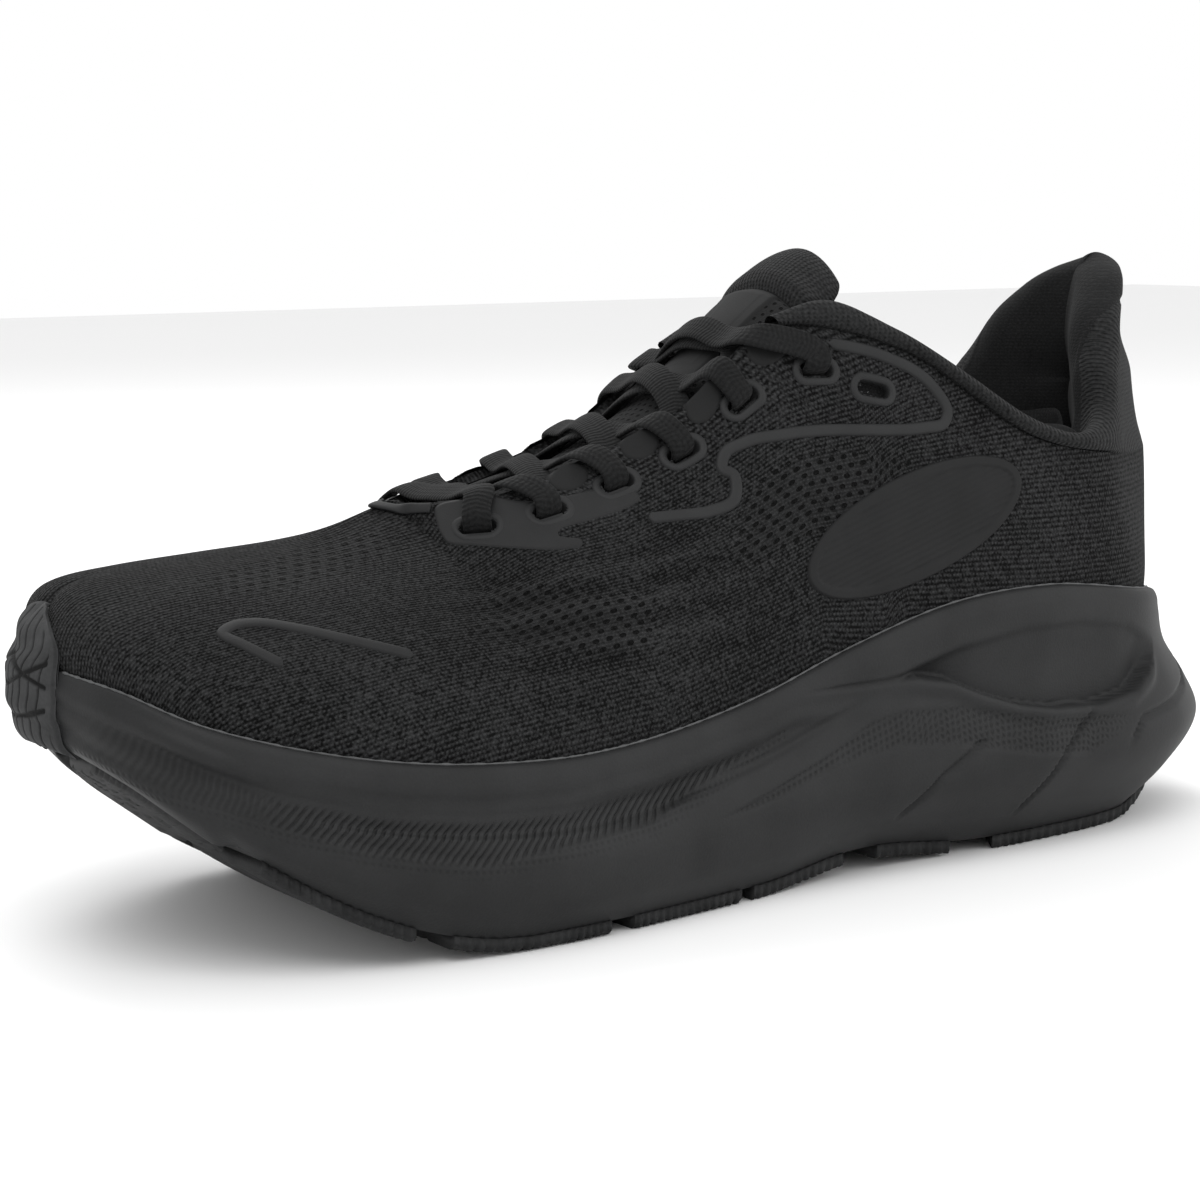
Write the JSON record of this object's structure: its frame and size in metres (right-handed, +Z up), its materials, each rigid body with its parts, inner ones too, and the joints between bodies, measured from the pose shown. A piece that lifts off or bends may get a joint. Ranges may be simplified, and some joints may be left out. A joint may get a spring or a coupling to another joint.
{
  "type": "running shoe",
  "caption": "Cushioned road running shoe for the left foot: thick rockered foam midsole, rubber tread pads, one-piece knit upper, padded collar with raised heel tab, padded tongue, flat lace.",
  "frame": {"origin": "centre of the overall box at ground level, under the flat part of the tread", "axes": "+X from toe to heel, +Y towards the medial side, +Z up from the ground"},
  "size_m": [0.3001, 0.1111, 0.1318],
  "materials": {
    "foam": "matte moulded foam",
    "rubber": "matte rubber",
    "board": "stitched fibre board",
    "lining": "brushed textile lining",
    "knit": "engineered knit",
    "plastic": "moulded plastic",
    "film": "matte bonded film",
    "collar": "ribbed soft knit",
    "padding": "open-cell foam",
    "lace": "flat woven lace"
  },
  "bodies": {
    "shoe": {"midsole": "foam", "outsole_toe_bumper": "rubber", "outsole_toe_pad": "rubber", "outsole_lateral_pad_1": "rubber", "outsole_lateral_pad_2": "rubber", "outsole_lateral_pad_3": "rubber", "outsole_lateral_pad_4": "rubber", "outsole_lateral_pad_5": "rubber", "outsole_lateral_heel_pad": "rubber", "outsole_medial_pad_1": "rubber", "outsole_medial_pad_2": "rubber", "outsole_medial_pad_3": "rubber", "outsole_medial_pad_4": "rubber", "outsole_medial_heel_pad": "rubber", "strobel_board": "board", "upper": "knit", "toe_puff": "plastic", "eyelet_film_lateral_1": "film", "eyelet_film_lateral_2": "film", "eyelet_film_lateral_3": "film", "eyelet_film_lateral_4": "film", "eyelet_film_lateral_5": "film", "eyelet_film_lateral_6": "film", "eyelet_film_lateral_7": "film", "eyelet_film_medial_1": "film", "eyelet_film_medial_2": "film", "eyelet_film_medial_3": "film", "eyelet_film_medial_4": "film", "eyelet_film_medial_5": "film", "eyelet_film_medial_6": "film", "eyelet_film_medial_7": "film", "collar_knit": "collar", "collar_foam": "padding", "collar_lining": "lining", "heel_lining": "lining", "heel_counter": "plastic", "eyestay_film_lateral": "film", "contour_film_lateral": "film", "toe_stripe_lateral": "film", "side_emblem_lateral": "film", "eyestay_film_medial": "film", "contour_film_medial": "film", "toe_stripe_medial": "film", "side_emblem_medial": "film", "lace": "lace", "throat_trim": "film", "lace_tail_lateral": "lace", "aglet_lateral": "plastic", "lace_tail_medial": "lace", "aglet_medial": "plastic"},
    "tongue": {"tongue": "collar", "tongue_label": "film"},
    "sockliner": {"sockliner": "lining"}
  },
  "joints": [
    {"name": "tongue_hinge", "type": "hinge", "parent": "shoe", "child": "tongue", "pos_m": [-0.055, 0, 0.078], "axis": [0, 1, 0], "range_deg": [0, 8], "stiffness_Nm_per_rad": 0.6, "springref_deg": -1.72},
    {"name": "sockliner_lift", "type": "hinge", "parent": "shoe", "child": "sockliner", "pos_m": [-0.134, 0, 0.048], "axis": [0, -1, 0], "range_deg": [0, 4], "deforming": ["lace_tail_lateral", "lace_tail_medial", "aglet_lateral", "aglet_medial"]}
  ]
}
